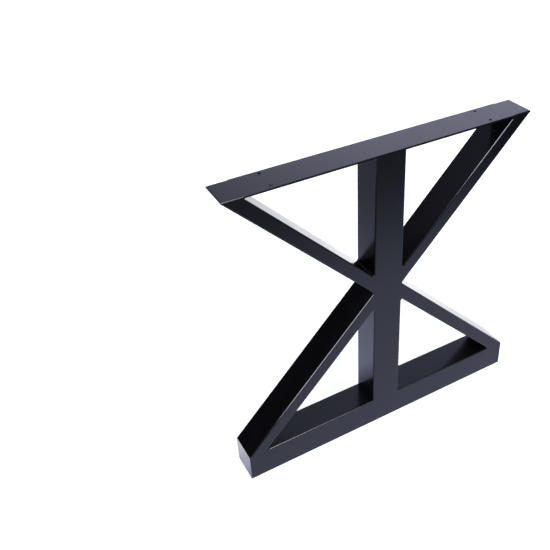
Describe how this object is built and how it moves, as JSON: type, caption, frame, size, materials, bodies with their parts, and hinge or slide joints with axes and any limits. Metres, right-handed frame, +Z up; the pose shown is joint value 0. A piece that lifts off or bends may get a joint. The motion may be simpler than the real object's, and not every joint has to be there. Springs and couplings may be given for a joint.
{
  "type": "metal table leg",
  "caption": "Welded steel table leg: flat mounting plate on a square post, slanting braces in an X and a square foot rail, in black powder coat.",
  "frame": {"origin": "on the floor, under the middle of the foot rail", "axes": "+Z up from the floor to the mounting plate, +X along the plate and the rail, +Y from the front face to the back face"},
  "size_m": [0.712, 0.07, 0.72],
  "materials": {
    "powder_coat": "semi-gloss black powder coat"
  },
  "bodies": {
    "root": {"top_plate": "powder_coat", "centre_post": "powder_coat", "upper_left_brace": "powder_coat", "upper_right_brace": "powder_coat", "lower_left_brace": "powder_coat", "lower_right_brace": "powder_coat", "foot_rail": "powder_coat", "left_rail_cap": "powder_coat", "right_rail_cap": "powder_coat", "plate_weld_beads": "powder_coat", "post_weld_beads": "powder_coat", "rail_weld_beads": "powder_coat"}
  },
  "joints": []
}
